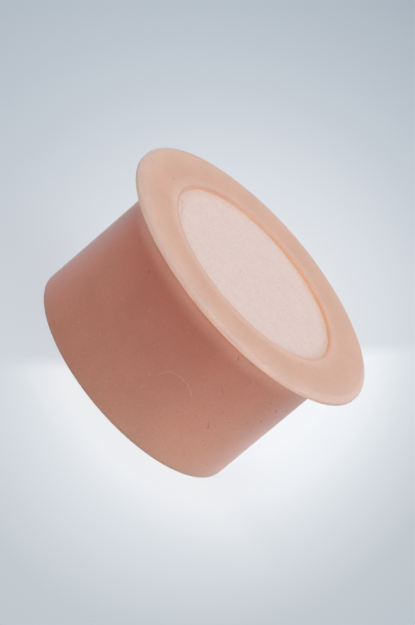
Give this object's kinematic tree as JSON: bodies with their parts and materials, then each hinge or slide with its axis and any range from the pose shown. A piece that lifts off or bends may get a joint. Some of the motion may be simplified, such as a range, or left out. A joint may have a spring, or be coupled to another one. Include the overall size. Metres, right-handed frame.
{
  "type": "rubber stopper",
  "caption": "Flanged rubber stopper: a short straight plug under a thin wide flange, with a pale matt disc set in a shallow round recess on top.",
  "frame": {"origin": "centre of the plug's end face, on the surface that the stopper stands on", "axes": "+Z along the stopper's axis, from the plug's end towards the flange; X and Y are free, because the part is turned about Z"},
  "size_m": [0.03, 0.03, 0.0159],
  "materials": {
    "rubber": "smooth moulded silicone rubber, salmon pink, slightly translucent, satin",
    "disc": "pale pinkish white, matt, with a fine paper-like grain"
  },
  "bodies": {
    "root": {"stopper_body": "rubber", "face_disc": "disc"}
  },
  "joints": []
}
